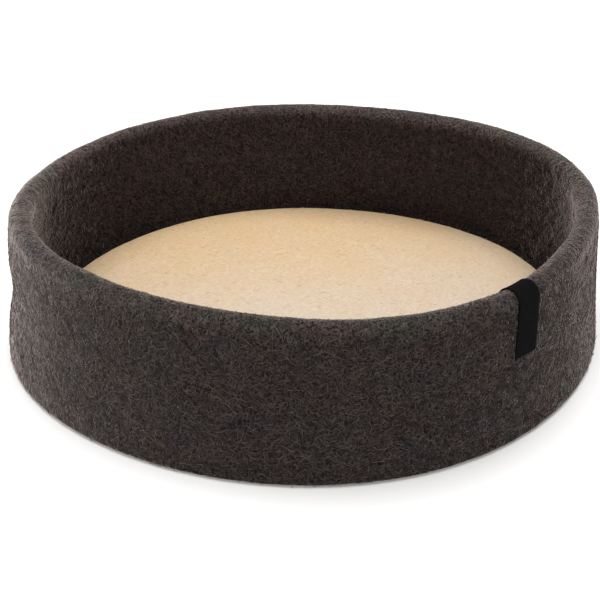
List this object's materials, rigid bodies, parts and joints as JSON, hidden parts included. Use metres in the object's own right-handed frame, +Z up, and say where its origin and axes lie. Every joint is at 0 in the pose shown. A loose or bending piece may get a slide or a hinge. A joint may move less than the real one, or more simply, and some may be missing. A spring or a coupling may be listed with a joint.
{
  "type": "felt dog basket",
  "caption": "Round low felt basket with a thick seamless wall and a soft rounded rim, a loose round felt mat inside, and a narrow tape folded over the rim.",
  "frame": {"origin": "the middle of the flat underside, on the surface the basket stands on", "axes": "+Z up out of the open top, -Y towards the viewer, +X to the viewer's right; the tape is at the front right"},
  "size_m": [0.5102, 0.4917, 0.1286],
  "materials": {
    "felt_charcoal": "thick charcoal wool felt with a short fuzzy surface",
    "felt_cream": "thick cream wool felt, smoother than the basket",
    "tape_black": "black woven tape with a slight satin sheen"
  },
  "bodies": {
    "root": {"shell": "felt_charcoal", "mat": "felt_cream", "tape": "tape_black"}
  },
  "joints": []
}
